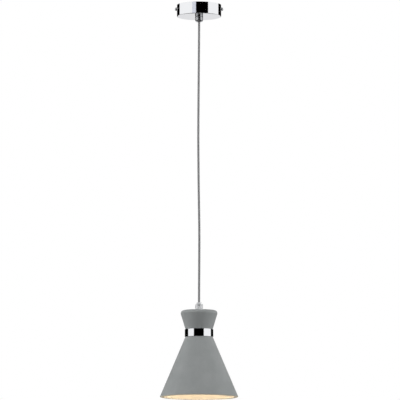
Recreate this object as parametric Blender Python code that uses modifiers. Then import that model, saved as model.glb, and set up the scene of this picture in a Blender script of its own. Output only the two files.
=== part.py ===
"""Pendant ceiling light: chrome canopy, round cord and an hourglass concrete shade with a chrome waist.

Metres, +Z up. The origin is the centre of the face that lies against the ceiling.
"""
import math

import bmesh
import bpy
from mathutils import Matrix, Vector

# ---- driving dimensions -------------------------------------------------------------------------

GAP = 0.0003  # clearance between faces that touch
CORD_RADIUS = 0.0025
CORD_BORE = 0.0030
WIRE_RADIUS = 0.0011
THREAD_CLEARANCE = 0.00035  # radial play around the M10 threads

STRAP_HALF_LENGTH = 0.0475
STRAP_HALF_WIDTH = 0.0075
STRAP_THICKNESS = 0.0015
EAR_DEPTH = 0.0180
EAR_SLOT_WIDTH = 0.0048
FIXING_SLOT_X = 0.0250
FIXING_SLOT_LENGTH = 0.0180
FIXING_SLOT_WIDTH = 0.0050

CANOPY_RADIUS = 0.0500
CANOPY_WALL = 0.0010
CANOPY_TOP = -0.0004
CANOPY_BOTTOM = -0.0272
SIDE_SCREW_Z = -0.0100
SIDE_SCREW_RADIUS = 0.0019
SIDE_HEAD_RADIUS = 0.0039
SIDE_HOLE_RADIUS = 0.0023

M10_RADIUS = 0.0049
M10_HOLE = M10_RADIUS + THREAD_CLEARANCE
GLAND_RADIUS = 0.0089
GLAND_BOTTOM = -0.0392
GLAND_STEM_TOP = -0.0200
CLAMP_TOP = -0.0120

SWING_Z = -0.0384  # the cord swings about this point in the gland's mouth
TILT_Z = -0.6780  # the shade tilts about this point in the cord grip's mouth
BUSH_HALF_HEIGHT = 0.0008
BUSH_BORE = 0.0033
BUSH_RADIUS = 0.00375
BUSH_ROOM = 0.0027  # height kept free behind a pivot for the leaning bush
MOUTH_RADIUS = 0.00415
TAIL_SETBACK = 0.0015  # distance from a pivot to the fixed stretch of cord behind it

GRIP_TOP = -0.6770
GRIP_RADIUS = 0.0087
GRIP_NECK_RADIUS = 0.0052
GRIP_SHOULDER_Z = -0.6835  # where the grip reaches its full width

SHADE_TOP = -0.6950
COLLAR_TOP_RADIUS = 0.0435  # where the collar's side would meet its top without the rounding
COLLAR_ROUNDING = 0.0065
COLLAR_BOTTOM = -0.7375
COLLAR_BOTTOM_RADIUS = 0.0305
COLLAR_TOP_THICKNESS = 0.0080
SPIGOT_RADIUS = 0.0297
SPIGOT_END = COLLAR_BOTTOM - 0.0080
WAIST_BORE = 0.0235
WAIST_RING_RADIUS = 0.0320
WAIST_RING_HEIGHT = 0.0170
CONE_TOP_RADIUS = 0.0310
CONE_BOTTOM = -0.8900
CONE_BOTTOM_RADIUS = 0.0884
CONE_BOTTOM_ROUNDING = 0.0015
CONE_MOUTH_RADIUS = 0.0787
LEDGE_BORE = 0.0208
LEDGE_THICKNESS = 0.0060

TUBE_TOP = -0.6860
TUBE_BOTTOM = -0.7185
TUBE_BORE = 0.0032

HOLDER_RADIUS = 0.0202
HOLDER_BORE = 0.0176
HOLDER_TOP = -0.7095
HOLDER_SPLIT = -0.7255
HOLDER_BOTTOM = -0.7755
INSERT_TOP = -0.7275
INSERT_BOTTOM = -0.7395
INSERT_RADIUS = 0.0171
CONTACT_THICKNESS = 0.0004

THREAD_PITCH = 0.00362  # the E27 lamp thread
THREAD_DEPTH = 0.00053  # half of the thread's radial height
SHELL_MEAN_RADIUS = 0.0132
CAP_MEAN_RADIUS = 0.01275
SHELL_THREAD_TOP = -0.7447
SHELL_THREAD_BOTTOM = -0.7635
THREAD_ROWS_PER_TURN = 5
THREAD_SEGMENTS = 24

BULB_TIP_TOP = -0.7405
BULB_CAP_TOP = -0.7445
BULB_CAP_BOTTOM = -0.7685
BULB_RADIUS = 0.0300
BULB_CENTRE_Z = -0.8155
HOUSING_END = -0.7930

TERMINAL_Y = 0.0270
TERMINAL_Z = -0.0150
TERMINAL_PITCH = 0.0100
TERMINAL_SCREW_OFFSET = 0.0042

PALETTE = {
    "chrome": ((0.82, 0.83, 0.85), 0.06, 1.0),
    "zinc_steel": ((0.55, 0.56, 0.58), 0.35, 1.0),
    "brass": ((0.72, 0.53, 0.24), 0.30, 1.0),
    "grey_cord": ((0.22, 0.22, 0.22), 0.70, 0.0),
    "brown_wire": ((0.16, 0.06, 0.03), 0.50, 0.0),
    "blue_wire": ((0.03, 0.12, 0.45), 0.50, 0.0),
    "white_plastic": ((0.85, 0.85, 0.83), 0.45, 0.0),
    "clear_plastic": ((0.80, 0.82, 0.83), 0.20, 0.0),
    "black_plastic": ((0.03, 0.03, 0.03), 0.45, 0.0),
    "grey_rubber": ((0.12, 0.12, 0.12), 0.80, 0.0),
    "concrete": ((0.25, 0.26, 0.26), 0.90, 0.0),
    "white_ceramic": ((0.80, 0.79, 0.76), 0.35, 0.0),
    "bulb_metal": ((0.70, 0.70, 0.70), 0.30, 1.0),
    "opal_cover": ((0.92, 0.88, 0.80), 0.40, 0.0),
    "circuit_board": ((0.90, 0.90, 0.88), 0.50, 0.0),
}

# ---- scene, materials and collections -----------------------------------------------------------


def clear_scene():
    for item in list(bpy.data.objects):
        bpy.data.objects.remove(item, do_unlink=True)


def new_collection(name):
    collection = bpy.data.collections.new(name)
    bpy.context.scene.collection.children.link(collection)
    return collection


def material(slot):
    found = bpy.data.materials.get(slot)
    if found:
        return found
    colour, roughness, metallic = PALETTE[slot]
    made = bpy.data.materials.new(slot)
    made.use_nodes = True
    shader = made.node_tree.nodes["Principled BSDF"]
    shader.inputs["Base Color"].default_value = (*colour, 1.0)
    shader.inputs["Roughness"].default_value = roughness
    shader.inputs["Metallic"].default_value = metallic
    made.diffuse_color = (*colour, 1.0)
    return made


clear_scene()
PARTS = new_collection("pendant_light")
CUTTERS = new_collection("cutters")


def add_object(name, data, slot):
    item = bpy.data.objects.new(name, data)
    PARTS.objects.link(item)
    data.materials.append(material(slot))
    return item


# ---- shapes -------------------------------------------------------------------------------------


def arc(centre, radius, start, end, steps):
    """Points of a circular arc in a profile's plane; the angles are in degrees."""
    points = []
    for step in range(steps + 1):
        angle = math.radians(start + (end - start) * step / steps)
        points.append((centre[0] + radius * math.cos(angle), centre[1] + radius * math.sin(angle)))
    return points


def rounded(corner, before, after, radius, steps=4):
    """The arc that replaces a profile's corner, from the side of `before` to the side of `after`."""
    at = Vector(corner)
    towards_before = (Vector(before) - at).normalized()
    towards_after = (Vector(after) - at).normalized()
    half = towards_before.angle(towards_after) / 2
    first = at + towards_before * radius / math.tan(half)
    last = at + towards_after * radius / math.tan(half)
    centre = at + (towards_before + towards_after).normalized() * radius / math.sin(half)
    start = math.degrees(math.atan2(*reversed(first - centre)))
    sweep = math.degrees(math.atan2(*reversed(last - centre))) - start
    sweep = (sweep + 180) % 360 - 180
    return arc(centre, (first - centre).length, start, start + sweep, steps)


def polyline_mesh(name, points, closed):
    mesh = bpy.data.meshes.new(name)
    count = len(points)
    edges = [(i, i + 1) for i in range(count - 1)]
    if closed:
        edges.append((count - 1, 0))
    mesh.from_pydata([(x, 0.0, z) for x, z in points], edges, [])
    return mesh


def turn(item, segments):
    screw = item.modifiers.new("turn", "SCREW")
    screw.axis = "Z"
    screw.steps = segments
    screw.render_steps = segments
    screw.use_merge_vertices = True
    screw.merge_threshold = 0.00001
    return screw


def turned(name, slot, points, segments=32, closed=True):
    """A solid of revolution about Z. Its outer side runs from top to bottom."""
    item = add_object(name, polyline_mesh(name, points, closed), slot)
    turn(item, segments)
    return item


def tube(name, slot, outer, inner, top, bottom, segments=32):
    return turned(name, slot, [(outer, top), (outer, bottom), (inner, bottom), (inner, top)], segments)


def rod(name, slot, radius, top, bottom, segments=12, chamfer=0.0):
    points = [(0.0, top), (radius - chamfer, top)]
    if chamfer:
        points.append((radius, top - chamfer))
    points += [(radius, bottom), (0.0, bottom)]
    return turned(name, slot, points, segments, closed=False)


def block(name, slot, size, centre):
    mesh = bpy.data.meshes.new(name)
    shape = bmesh.new()
    bmesh.ops.create_cube(shape, size=1.0, matrix=Matrix.Diagonal((*size, 1.0)))
    shape.to_mesh(mesh)
    shape.free()
    item = add_object(name, mesh, slot)
    item.location = centre
    return item


def bevel(item, width, segments=1):
    modifier = item.modifiers.new("edges", "BEVEL")
    modifier.width = width
    modifier.segments = segments
    modifier.limit_method = "ANGLE"
    return modifier


def prism(name, slot, across_flats, bore, top, bottom):
    """A hexagon nut about Z, with its hole."""
    corner = across_flats / 2 / math.cos(math.pi / 6)
    nut = turned(name, slot, [(0.0, top), (corner, top), (corner, bottom), (0.0, bottom)], 6, closed=False)
    cut(nut, drill(name + "_hole", bore, (top - bottom) * 2, (0.0, 0.0, (top + bottom) / 2), "Z"))
    return nut


def aimed(axis):
    """The rotation that takes +Z to a row axis."""
    directions = {"X": (1, 0, 0), "-X": (-1, 0, 0), "Y": (0, 1, 0), "-Y": (0, -1, 0), "Z": (0, 0, 1)}
    return Vector((0, 0, 1)).rotation_difference(Vector(directions[axis])).to_euler()


def as_cutter(item):
    PARTS.objects.unlink(item)
    CUTTERS.objects.link(item)
    item.hide_render = True
    item.display_type = "WIRE"
    return item


def drill(name, radius, length, centre, axis, segments=16):
    """A round cutter."""
    mesh = bpy.data.meshes.new(name)
    shape = bmesh.new()
    bmesh.ops.create_cone(
        shape, cap_ends=True, segments=segments, radius1=radius, radius2=radius, depth=length
    )
    shape.to_mesh(mesh)
    shape.free()
    item = as_cutter(add_object(name, mesh, "zinc_steel"))
    item.location = centre
    item.rotation_euler = aimed(axis)
    return item


def slot_cutter(name, size, centre):
    return as_cutter(block(name, "zinc_steel", size, centre))


def cut(item, cutter):
    modifier = item.modifiers.new("cut_" + cutter.name, "BOOLEAN")
    modifier.operation = "DIFFERENCE"
    modifier.solver = "EXACT"
    modifier.object = cutter
    return modifier


def smooth_route(waypoints, steps):
    """A smooth curve through the waypoints, with `steps` points to each span."""
    padded = [waypoints[0], *waypoints, waypoints[-1]]
    points = []
    for index in range(1, len(padded) - 2):
        before, here, there, after = (Vector(padded[index + k]) for k in (-1, 0, 1, 2))
        for step in range(steps):
            t = step / steps
            bend = (there - before) * t
            bend += (before * 2 - here * 5 + there * 4 - after) * t * t
            bend += (here * 3 - before - there * 3 + after) * t * t * t
            points.append(here + bend / 2)
    points.append(Vector(waypoints[-1]))
    return points


def bent_wire(name, slot, points, radius):
    curve = bpy.data.curves.new(name, "CURVE")
    curve.dimensions = "3D"
    curve.bevel_depth = radius
    curve.bevel_resolution = 2
    curve.use_fill_caps = True
    spline = curve.splines.new("POLY")
    spline.points.add(len(points) - 1)
    for target, point in zip(spline.points, points):
        target.co = (*point, 1.0)
    return add_object(name, curve, slot)


def apply_shape(item):
    """Makes an object's evaluated shape its own mesh, with no modifiers left."""
    graph = bpy.context.evaluated_depsgraph_get()
    mesh = bpy.data.meshes.new_from_object(item.evaluated_get(graph))
    item.modifiers.clear()
    item.data = mesh
    return mesh


def cut_thread(item, mean_radius, top, bottom, runout):
    """Moves the wall that stands at the mean radius into a right-handed round thread.

    The thread runs out at both ends towards its root: outwards (1) in a shell, inwards (-1) on a cap.
    """
    mesh = apply_shape(item)
    fade = THREAD_PITCH / 2
    for vertex in mesh.vertices:
        radius = math.hypot(vertex.co.x, vertex.co.y)
        inside = min(top - vertex.co.z, vertex.co.z - bottom)
        if abs(radius - mean_radius) > 0.0001 or inside < -0.00001:
            continue
        turn_angle = math.atan2(vertex.co.y, vertex.co.x)
        wave = math.sin(math.tau * vertex.co.z / THREAD_PITCH - turn_angle)
        share = min(1.0, max(0.0, inside / fade))
        moved = mean_radius + THREAD_DEPTH * (share * wave + (1.0 - share) * runout)
        vertex.co.x *= moved / radius
        vertex.co.y *= moved / radius


def thread_rows(radius, top, bottom):
    """A plain wall's profile from top to bottom, with enough rows to carry the thread."""
    count = round((top - bottom) / THREAD_PITCH * THREAD_ROWS_PER_TURN)
    return [(radius, top + (bottom - top) * row / count) for row in range(count + 1)]


# ---- ceiling fixing and canopy ------------------------------------------------------------------


def ceiling_bracket():
    mesh = bpy.data.meshes.new("ceiling_bracket")
    reach = STRAP_HALF_LENGTH
    left = rounded((-reach, 0.0), (-reach, -EAR_DEPTH), (0.0, 0.0), 0.0025, 3)
    outline = [(-reach, -EAR_DEPTH), *left, *[(-x, z) for x, z in reversed(left)], (reach, -EAR_DEPTH)]
    front = [(x, -STRAP_HALF_WIDTH, z) for x, z in outline]
    back = [(x, STRAP_HALF_WIDTH, z) for x, z in outline]
    count = len(outline)
    faces = [(i, i + 1, count + i + 1, count + i) for i in range(count - 1)]
    mesh.from_pydata(front + back, [], faces)
    strap = add_object("ceiling_bracket", mesh, "zinc_steel")
    sheet = strap.modifiers.new("thickness", "SOLIDIFY")
    sheet.thickness = STRAP_THICKNESS
    sheet.offset = -1.0
    sheet.use_even_offset = True
    for side in (-1, 1):
        label = "left" if side < 0 else "right"
        x = side * STRAP_HALF_LENGTH
        cut(strap, drill("ear_seat_" + label, EAR_SLOT_WIDTH / 2, 0.012, (x, 0.0, SIDE_SCREW_Z), "X"))
        mouth = (EAR_DEPTH + SIDE_SCREW_Z) * 2
        cut(strap, slot_cutter("ear_slot_" + label, (0.012, EAR_SLOT_WIDTH, mouth), (x, 0.0, -EAR_DEPTH)))
        run = FIXING_SLOT_LENGTH - FIXING_SLOT_WIDTH
        x = side * FIXING_SLOT_X
        cut(strap, slot_cutter("fixing_slot_" + label, (run, FIXING_SLOT_WIDTH, 0.01), (x, 0.0, 0.0)))
        for end in (-1, 1):
            name = "fixing_end_" + label + ("_a" if end < 0 else "_b")
            cut(strap, drill(name, FIXING_SLOT_WIDTH / 2, 0.01, (x + end * run / 2, 0.0, 0.0), "Z"))


def canopy_cup():
    outer, inner = CANOPY_RADIUS, CANOPY_RADIUS - CANOPY_WALL
    floor = CANOPY_BOTTOM + CANOPY_WALL
    edge = 0.0012
    points = [(outer - 0.0004, CANOPY_TOP), (outer, CANOPY_TOP - 0.0006)]
    points += arc((outer - edge, CANOPY_BOTTOM + edge), edge, 0, -90, 3)
    points += [(M10_HOLE, CANOPY_BOTTOM), (M10_HOLE, floor), (inner, floor), (inner, CANOPY_TOP)]
    cup = turned("canopy_cup", "chrome", points, 40)
    for side in (-1, 1):
        label = "left" if side < 0 else "right"
        place = (side * CANOPY_RADIUS, 0.0, SIDE_SCREW_Z)
        cut(cup, drill("canopy_hole_" + label, SIDE_HOLE_RADIUS, 0.012, place, "X"))


def side_screws():
    """The two dome-headed screws that clamp the canopy to the bracket's ears."""
    for side, label, axis in ((-1, "left", "-X"), (1, "right", "X")):
        face = CANOPY_RADIUS + GAP
        washer = tube("canopy_washer_" + label, "zinc_steel", 0.0043, SIDE_HOLE_RADIUS, 0.0007, 0.0, 16)
        washer.location = (side * face, 0.0, SIDE_SCREW_Z)
        washer.rotation_euler = aimed(axis)

        head_base = 0.0007 + GAP
        crown = arc((0.0, head_base), 0.0035, 90, 40, 3)
        head = [(r, z) for r, z in crown] + [(SIDE_HEAD_RADIUS, head_base + 0.0008)]
        head += [(SIDE_HEAD_RADIUS, head_base), (SIDE_SCREW_RADIUS, head_base)]
        head += [(SIDE_SCREW_RADIUS, -0.0088), (SIDE_SCREW_RADIUS - 0.0005, -0.0093), (0.0, -0.0093)]
        screw = turned("canopy_screw_" + label, "chrome", head, 16, closed=False)
        screw.location = (side * face, 0.0, SIDE_SCREW_Z)
        screw.rotation_euler = aimed(axis)
        top = side * (face + head_base + 0.0035)
        cut(screw, slot_cutter("driver_slot_" + label, (0.0018, 0.0120, 0.0009), (top, 0.0, SIDE_SCREW_Z)))

        ear_face = STRAP_HALF_LENGTH - STRAP_THICKNESS - GAP
        place = (side * (ear_face - 0.0012), 0.0, SIDE_SCREW_Z)
        nut = block("canopy_nut_" + label, "zinc_steel", (0.0024, 0.0070, 0.0070), place)
        bevel(nut, 0.0004)
        cut(nut, drill("canopy_nut_hole_" + label, SIDE_HOLE_RADIUS, 0.01, place, "X"))


def gland():
    """The chrome cord gland under the canopy, and the pieces that hold it and the cord inside."""
    top = CANOPY_BOTTOM - GAP
    straight_end = -0.0334
    dome = [(0.0086, -0.0346), (0.0077, -0.0361), (0.0064, -0.0376), (0.0053, -0.0387)]
    points = [(M10_RADIUS, GLAND_STEM_TOP), (M10_RADIUS, top), (GLAND_RADIUS, top)]
    points += [(GLAND_RADIUS, straight_end), *dome, (0.0048, GLAND_BOTTOM), (MOUTH_RADIUS, GLAND_BOTTOM)]
    points += [(MOUTH_RADIUS, SWING_Z + BUSH_ROOM), (CORD_BORE, SWING_Z + BUSH_ROOM + 0.0010)]
    points += [(CORD_BORE, GLAND_STEM_TOP)]
    turned("gland_body", "chrome", points, 24)

    floor = CANOPY_BOTTOM + CANOPY_WALL + GAP
    tube("gland_washer", "zinc_steel", 0.0090, M10_HOLE, floor + 0.0008, floor, 24)
    nut_bottom = floor + 0.0008 + GAP
    prism("gland_nut", "brass", 0.0140, M10_HOLE, nut_bottom + 0.0030, nut_bottom)

    clamp_bottom = GLAND_STEM_TOP + GAP
    clamp = tube("cord_clamp", "white_plastic", 0.0065, CORD_BORE, CLAMP_TOP, clamp_bottom, 16)
    middle = (CLAMP_TOP + clamp_bottom) / 2
    cut(clamp, drill("clamp_screw_hole", 0.0019, 0.006, (0.0, 0.0060, middle), "Y", 8))
    screw = rod("cord_clamp_screw", "zinc_steel", 0.0016, 0.0062, 0.0, 12, 0.0003)
    screw.location = (0.0, 0.0030, middle)
    screw.rotation_euler = aimed("Y")


def bush(name, centre_z):
    """The soft ring in a cord outlet that lets the cord lean."""
    top, bottom = centre_z + BUSH_HALF_HEIGHT, centre_z - BUSH_HALF_HEIGHT
    ring = tube(name, "grey_rubber", BUSH_RADIUS, BUSH_BORE, top - centre_z, bottom - centre_z, 24)
    ring.location = (0.0, 0.0, centre_z)


def terminal_block():
    place = (0.0, TERMINAL_Y, TERMINAL_Z)
    body = block("terminal_block", "white_plastic", (0.0210, 0.0170, 0.0130), place)
    bevel(body, 0.0008, 2)
    for side, label in ((-1, "live"), (1, "neutral")):
        x = side * TERMINAL_PITCH / 2
        cut(body, drill("terminal_bore_" + label, 0.0027, 0.03, (x, TERMINAL_Y, TERMINAL_Z), "Y"))
        insert = tube("terminal_insert_" + label, "brass", 0.0024, 0.0015, 0.0072, -0.0072, 16)
        insert.location = (x, TERMINAL_Y, TERMINAL_Z)
        insert.rotation_euler = aimed("Y")
        for end in (-1, 1):
            number = str((1 if side < 0 else 3) + (end > 0))
            y = TERMINAL_Y + end * TERMINAL_SCREW_OFFSET
            shaft = (x, y, TERMINAL_Z + 0.006)
            cut(body, drill("terminal_well_" + number, 0.0020, 0.011, shaft, "Z", 12))
            cut(insert, drill("insert_hole_" + number, 0.0017, 0.006, (x, y, TERMINAL_Z + 0.003), "Z", 12))
            screw = rod("terminal_screw_" + number, "zinc_steel", 0.0014, 0.0040, 0.0, 12, 0.0002)
            screw.location = (x, y, TERMINAL_Z + 0.0014)
            top = TERMINAL_Z + 0.0054
            cut(screw, slot_cutter("terminal_slot_" + number, (0.004, 0.0006, 0.0012), (x, y, top)))


def canopy_wiring():
    """The cord's fixed end in the canopy, and its two cores on their way to the terminal block."""
    end = -0.0112
    start = SWING_Z + TAIL_SETBACK
    bent_wire("cord_tail_upper", "grey_cord", [Vector((0, 0, start)), Vector((0, 0, end))], CORD_RADIUS)
    for side, label, slot in ((-1, "live", "brown_wire"), (1, "neutral", "blue_wire")):
        x = side * TERMINAL_PITCH / 2
        waypoints = [
            (side * 0.0013, 0.0, end + GAP),
            (side * 0.0014, 0.0002, -0.0090),
            (side * 0.0024, 0.0045, -0.0050),
            (x * 0.9, 0.0105, -0.0070),
            (x, 0.0145, -0.0130),
            (x, 0.0180, TERMINAL_Z),
            (x, 0.0215, TERMINAL_Z),
        ]
        bent_wire("core_" + label + "_upper", slot, smooth_route(waypoints, 2), WIRE_RADIUS)


# ---- cord ---------------------------------------------------------------------------------------

CORD_WAYPOINTS = [  # sideways drift and height of the hanging cord, from the gland to the grip
    (0.0000, SWING_Z - GAP),
    (0.0000, -0.0620),
    (-0.0007, -0.1500),
    (-0.0015, -0.2500),
    (-0.0017, -0.3150),
    (-0.0010, -0.4050),
    (0.0002, -0.4850),
    (0.0006, -0.5350),
    (0.0003, -0.6050),
    (0.0000, -0.6500),
    (0.0000, TILT_Z + GAP),
]
CORD_STEPS = 5


def hanging_cord():
    waypoints = [(x, 0.0, z) for x, z in CORD_WAYPOINTS]
    bent_wire("cord", "grey_cord", smooth_route(waypoints, CORD_STEPS), CORD_RADIUS)


# ---- shade --------------------------------------------------------------------------------------


def cord_grip():
    """The clear grip on top of the shade that holds the cord and screws onto the M10 tube."""
    base = SHADE_TOP + GAP
    points = [(MOUTH_RADIUS, GRIP_TOP), (GRIP_NECK_RADIUS - 0.0006, GRIP_TOP)]
    points.append((GRIP_NECK_RADIUS, GRIP_TOP - 0.0008))
    shoulder = GRIP_RADIUS - GRIP_NECK_RADIUS
    points += arc((GRIP_NECK_RADIUS, GRIP_SHOULDER_Z), shoulder, 90, 0, 4)
    points += [(GRIP_RADIUS, base), (M10_HOLE, base), (M10_HOLE, TUBE_TOP + GAP)]
    points += [(CORD_BORE, TUBE_TOP + GAP), (CORD_BORE, TILT_Z - BUSH_ROOM - 0.0010)]
    points += [(MOUTH_RADIUS, TILT_Z - BUSH_ROOM)]
    grip = turned("cord_grip", "clear_plastic", points, 24)
    height = (TILT_Z - BUSH_ROOM + TUBE_TOP) / 2 - 0.0003
    cut(grip, drill("grip_screw_hole", 0.0017, 0.010, (0.0, -0.0077, height), "Y", 12))
    screw = rod("cord_grip_screw", "zinc_steel", 0.0014, 0.0060, 0.0, 12, 0.0003)
    screw.location = (0.0, -0.0030, height)
    screw.rotation_euler = aimed("-Y")
    cut(screw, slot_cutter("grip_screw_slot", (0.004, 0.0016, 0.0006), (0.0, -0.0090, height)))


def shade_stack():
    """The concrete collar, the chrome waist ring and the concrete cone, clamped in that order."""
    top_corner = (COLLAR_TOP_RADIUS, SHADE_TOP)
    foot = (COLLAR_BOTTOM_RADIUS, COLLAR_BOTTOM)
    under = SHADE_TOP - COLLAR_TOP_THICKNESS
    points = [(M10_HOLE, SHADE_TOP)]
    points += rounded(top_corner, (0.0, SHADE_TOP), foot, COLLAR_ROUNDING, 4)
    points += [foot, (SPIGOT_RADIUS, COLLAR_BOTTOM), (SPIGOT_RADIUS, SPIGOT_END), (WAIST_BORE, SPIGOT_END)]
    points += [(WAIST_BORE, COLLAR_BOTTOM), (0.0330, under - 0.0040), (0.0290, under), (M10_HOLE, under)]
    turned("upper_collar", "concrete", points, 40)

    ring_top = COLLAR_BOTTOM - GAP
    ring_bottom = ring_top - WAIST_RING_HEIGHT
    radius, bore, edge = WAIST_RING_RADIUS, SPIGOT_RADIUS + 0.0005, 0.0005
    points = [(radius - edge, ring_top), (radius, ring_top - edge), (radius, ring_bottom + edge)]
    points += [(radius - edge, ring_bottom), (bore, ring_bottom), (bore, ring_top)]
    turned("waist_ring", "chrome", points, 40)

    cone_top = ring_bottom - GAP
    ledge_bottom = cone_top - LEDGE_THICKNESS
    slope = (CONE_BOTTOM_RADIUS - CONE_TOP_RADIUS) / (cone_top - CONE_BOTTOM)
    throat_z = ledge_bottom - 0.0080
    throat = CONE_MOUTH_RADIUS - slope * (throat_z - CONE_BOTTOM)
    rim = rounded((CONE_BOTTOM_RADIUS, CONE_BOTTOM), (CONE_TOP_RADIUS, cone_top), (0.0, CONE_BOTTOM),
                  CONE_BOTTOM_ROUNDING, 2)
    points = [(SPIGOT_RADIUS, SPIGOT_END - GAP), (SPIGOT_RADIUS, cone_top), (CONE_TOP_RADIUS, cone_top)]
    points += [*rim, (CONE_MOUTH_RADIUS, CONE_BOTTOM), (throat, throat_z)]
    points += [(throat, ledge_bottom), (LEDGE_BORE, ledge_bottom), (LEDGE_BORE, cone_top)]
    points += [(WAIST_BORE, cone_top), (WAIST_BORE, SPIGOT_END - GAP)]
    turned("lower_shade", "concrete", points, 48)
    return cone_top, ledge_bottom


def shade_hardware():
    """The M10 tube with the washer and nut that carry the collar."""
    tube("threaded_tube", "zinc_steel", M10_RADIUS, TUBE_BORE, TUBE_TOP, TUBE_BOTTOM, 24)
    under = SHADE_TOP - COLLAR_TOP_THICKNESS - GAP
    tube("collar_washer", "zinc_steel", 0.0140, M10_HOLE, under, under - 0.0012, 24)
    nut_top = under - 0.0012 - GAP
    prism("tube_nut", "zinc_steel", 0.0140, M10_HOLE, nut_top, nut_top - 0.0030)


def lampholder(ledge_top, ledge_bottom):
    """The screw-thread lampholder: cap, insert, contact, threaded shell, sleeve and shade ring."""
    join = HOLDER_SPLIT + GAP
    points = [(M10_HOLE, HOLDER_TOP), (0.0088, HOLDER_TOP), (0.0088, HOLDER_TOP - 0.0080)]
    points += rounded((HOLDER_RADIUS, HOLDER_TOP - 0.0080), (0.0, HOLDER_TOP - 0.0080),
                      (HOLDER_RADIUS, join), 0.0040, 4)
    ceiling = HOLDER_SPLIT + 0.0050
    points += [(HOLDER_RADIUS, join), (HOLDER_BORE, join), (HOLDER_BORE, ceiling), (M10_HOLE, ceiling)]
    cap = turned("lampholder_cap", "black_plastic", points, 24)
    height = HOLDER_TOP - 0.0040
    cut(cap, drill("cap_screw_hole", 0.0016, 0.010, (0.0, -0.0080, height), "Y", 12))
    screw = rod("lampholder_cap_screw", "zinc_steel", 0.0013, 0.0040, 0.0, 12, 0.0003)
    screw.location = (0.0, -0.0053, height)
    screw.rotation_euler = aimed("-Y")

    recess, recess_top = 0.0065, INSERT_BOTTOM + 0.0050
    points = [(0.0, INSERT_TOP), (INSERT_RADIUS, INSERT_TOP), (INSERT_RADIUS, INSERT_BOTTOM)]
    points += [(recess, INSERT_BOTTOM), (recess, recess_top), (0.0, recess_top)]
    insert = turned("lampholder_insert", "white_ceramic", points, 24, closed=False)
    for side, label in ((-1, "live"), (1, "neutral")):
        x = side * 0.0090
        entry = (x, -0.0025, INSERT_TOP)
        well = (x, 0.0035, INSERT_TOP)
        cut(insert, drill("core_entry_" + label, 0.0015, 0.010, entry, "Z", 12))
        cut(insert, drill("holder_well_" + label, 0.0022, 0.008, well, "Z", 12))
        screw = rod("lampholder_screw_" + label, "brass", 0.0018, 0.0045, 0.0, 12, 0.0003)
        screw.location = (x, 0.0035, INSERT_TOP - 0.0035)
        top = INSERT_TOP + 0.0010
        cut(screw, slot_cutter("holder_slot_" + label, (0.006, 0.0007, 0.0014), (x, 0.0035, top)))

    mesh = bpy.data.meshes.new("centre_contact")
    seat = recess_top - GAP
    dip = BULB_TIP_TOP + GAP + CONTACT_THICKNESS
    outline = [(-0.0055, seat), (-0.0030, seat), (0.0, dip + 0.0012), (0.0012, dip), (0.0028, dip)]
    outline.append((0.0042, dip + 0.0012))
    front = [(x, -0.0018, z) for x, z in outline]
    back = [(x, 0.0018, z) for x, z in outline]
    count = len(outline)
    mesh.from_pydata(front + back, [], [(i, i + 1, count + i + 1, count + i) for i in range(count - 1)])
    contact = add_object("centre_contact", mesh, "brass")
    sheet = contact.modifiers.new("thickness", "SOLIDIFY")
    sheet.thickness = CONTACT_THICKNESS
    sheet.offset = -1.0

    flange_top = INSERT_BOTTOM - GAP
    shell_bottom = SHELL_THREAD_BOTTOM - 0.0030
    plain = SHELL_MEAN_RADIUS + THREAD_DEPTH
    points = [(0.0155, flange_top), (0.0155, shell_bottom), (plain, shell_bottom)]
    points += reversed(thread_rows(SHELL_MEAN_RADIUS, SHELL_THREAD_TOP, SHELL_THREAD_BOTTOM))
    points += [(plain, SHELL_THREAD_TOP + 0.0008), (plain, flange_top - 0.0008)]
    points += [(0.0108, flange_top - 0.0008), (0.0108, flange_top)]
    shell = turned("thread_shell", "brass", points, THREAD_SEGMENTS)
    cut_thread(shell, SHELL_MEAN_RADIUS, SHELL_THREAD_TOP, SHELL_THREAD_BOTTOM, runout=1)

    flange = 0.0229
    seat = ledge_top + GAP
    points = [(HOLDER_RADIUS, HOLDER_SPLIT), (HOLDER_RADIUS, seat + 0.0030), (flange, seat + 0.0030)]
    points += [(flange, seat), (HOLDER_RADIUS, seat), (HOLDER_RADIUS, HOLDER_BOTTOM + 0.0008)]
    points += [(HOLDER_RADIUS - 0.0008, HOLDER_BOTTOM), (HOLDER_BORE, HOLDER_BOTTOM)]
    points += [(HOLDER_BORE, HOLDER_SPLIT)]
    turned("lampholder_sleeve", "black_plastic", points, 24)

    ring_top = ledge_bottom - GAP
    points = [(0.0252, ring_top), (0.0252, ring_top - 0.0065), (0.0240, ring_top - 0.0077)]
    points += [(0.0206, ring_top - 0.0077), (0.0206, ring_top)]
    turned("shade_ring", "black_plastic", points, 24)


def shade_wiring():
    """The cord's fixed end in the shade, and its two cores on their way to the lampholder."""
    start = TILT_Z - TAIL_SETBACK
    end = TUBE_BOTTOM - 0.0030
    bent_wire("cord_tail_lower", "grey_cord", [Vector((0, 0, start)), Vector((0, 0, end))], CORD_RADIUS)
    for side, label, slot in ((-1, "live", "brown_wire"), (1, "neutral", "blue_wire")):
        waypoints = [
            (side * 0.0013, 0.0, end - 0.0004),
            (side * 0.0014, 0.0, end - 0.0012),
            (side * 0.0036, -0.0006, end - 0.0023),
            (side * 0.0068, -0.0018, end - 0.0033),
            (side * 0.0088, -0.0025, end - 0.0052),
            (side * 0.0090, -0.0025, end - 0.0075),
            (side * 0.0090, -0.0025, end - 0.0100),
        ]
        bent_wire("core_" + label + "_lower", slot, smooth_route(waypoints, 2), WIRE_RADIUS)


# ---- bulb ---------------------------------------------------------------------------------------


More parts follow.
